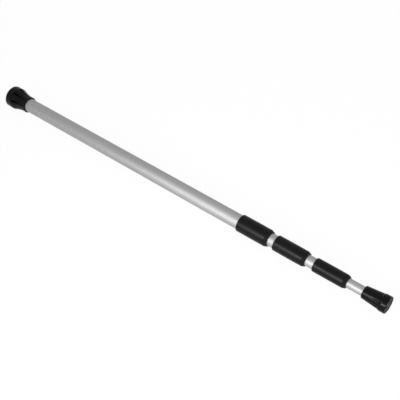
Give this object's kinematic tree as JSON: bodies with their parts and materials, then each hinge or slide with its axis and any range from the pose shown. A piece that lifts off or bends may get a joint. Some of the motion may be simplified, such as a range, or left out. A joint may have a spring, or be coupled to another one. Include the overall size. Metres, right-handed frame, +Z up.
{
  "type": "boom pole",
  "caption": "Telescopic aluminium boom pole whose nested tubes slide out and clamp with rubber twist-lock collars, with a flared rubber foot at the butt and a pull-off rubber cap at the tip.",
  "frame": {"origin": "centre of the butt foot's flat face, on the pole's axis", "axes": "+X along the pole towards the tip, +Z up as the closed pole lies"},
  "size_m": [1.0295, 0.0508, 0.0508],
  "materials": {
    "anodised_tube": "satin clear anodised, drawn along the tube",
    "machined_aluminium": "turned",
    "black_nut": "satin black anodised",
    "grip_rubber": "smooth satin rubber",
    "foot_rubber": "moulded matte rubber",
    "soft_ring": "soft black rubber",
    "nylon": "natural nylon",
    "black_plastic": "moulded",
    "steel": "zinc plated"
  },
  "bodies": {
    "butt_section": {"butt_ferrule": "foot_rubber", "butt_washer": "steel", "butt_plug": "black_plastic", "butt_buffer": "soft_ring", "butt_tube": "anodised_tube", "thread_sleeve_1": "machined_aluminium", "guide_bush_1": "nylon"},
    "lock_1_collet": {"collet_1": "nylon"},
    "lock_1": {"lock_nut_1": "black_nut", "grip_sleeve_1": "grip_rubber", "wiper_ring_1": "soft_ring"},
    "section_2": {"tube_2": "anodised_tube", "tail_plug_2": "nylon", "stop_ring_2": "soft_ring", "thread_sleeve_2": "machined_aluminium", "guide_bush_2": "nylon"},
    "lock_2_collet": {"collet_2": "nylon"},
    "lock_2": {"lock_nut_2": "black_nut", "grip_sleeve_2": "grip_rubber", "wiper_ring_2": "soft_ring"},
    "section_3": {"tube_3": "anodised_tube", "tail_plug_3": "nylon", "stop_ring_3": "soft_ring", "thread_sleeve_3": "machined_aluminium", "guide_bush_3": "nylon"},
    "lock_3_collet": {"collet_3": "nylon"},
    "lock_3": {"lock_nut_3": "black_nut", "grip_sleeve_3": "grip_rubber", "wiper_ring_3": "soft_ring"},
    "tip_section": {"tip_tube": "anodised_tube", "tail_plug_4": "nylon", "stop_ring_4": "soft_ring", "tip_insert": "machined_aluminium", "tip_stud": "steel"},
    "tip_cap": {"tip_cap": "foot_rubber", "cap_washer": "steel"}
  },
  "joints": [
    {"name": "slide_2", "type": "slide", "parent": "butt_section", "child": "section_2", "axis": [1, 0, 0], "range_m": [0, 0.597]},
    {"name": "lock_1_feed", "type": "slide", "parent": "butt_section", "child": "lock_1_collet", "axis": [1, 0, 0], "range_m": [0, 0.000666]},
    {"name": "lock_1_twist", "type": "hinge", "parent": "lock_1_collet", "child": "lock_1", "pos_m": [0, 0, 0], "axis": [1, 0, 0], "range_deg": [0, 120]},
    {"name": "slide_3", "type": "slide", "parent": "section_2", "child": "section_3", "axis": [1, 0, 0], "range_m": [0, 0.656]},
    {"name": "lock_2_feed", "type": "slide", "parent": "section_2", "child": "lock_2_collet", "axis": [1, 0, 0], "range_m": [0, 0.000666]},
    {"name": "lock_2_twist", "type": "hinge", "parent": "lock_2_collet", "child": "lock_2", "pos_m": [0, 0, 0], "axis": [1, 0, 0], "range_deg": [0, 120]},
    {"name": "slide_4", "type": "slide", "parent": "section_3", "child": "tip_section", "axis": [1, 0, 0], "range_m": [0, 0.718]},
    {"name": "lock_3_feed", "type": "slide", "parent": "section_3", "child": "lock_3_collet", "axis": [1, 0, 0], "range_m": [0, 0.000666]},
    {"name": "lock_3_twist", "type": "hinge", "parent": "lock_3_collet", "child": "lock_3", "pos_m": [0, 0, 0], "axis": [1, 0, 0], "range_deg": [0, 120]},
    {"name": "cap_pull", "type": "slide", "parent": "tip_section", "child": "tip_cap", "axis": [1, 0, 0], "range_m": [0, 0.06]}
  ],
  "couplings": [
    {"joint": "lock_1_twist", "follows": "lock_1_feed", "rad_per_m": 3141.6},
    {"joint": "lock_2_twist", "follows": "lock_2_feed", "rad_per_m": 3141.6},
    {"joint": "lock_3_twist", "follows": "lock_3_feed", "rad_per_m": 3141.6}
  ]
}
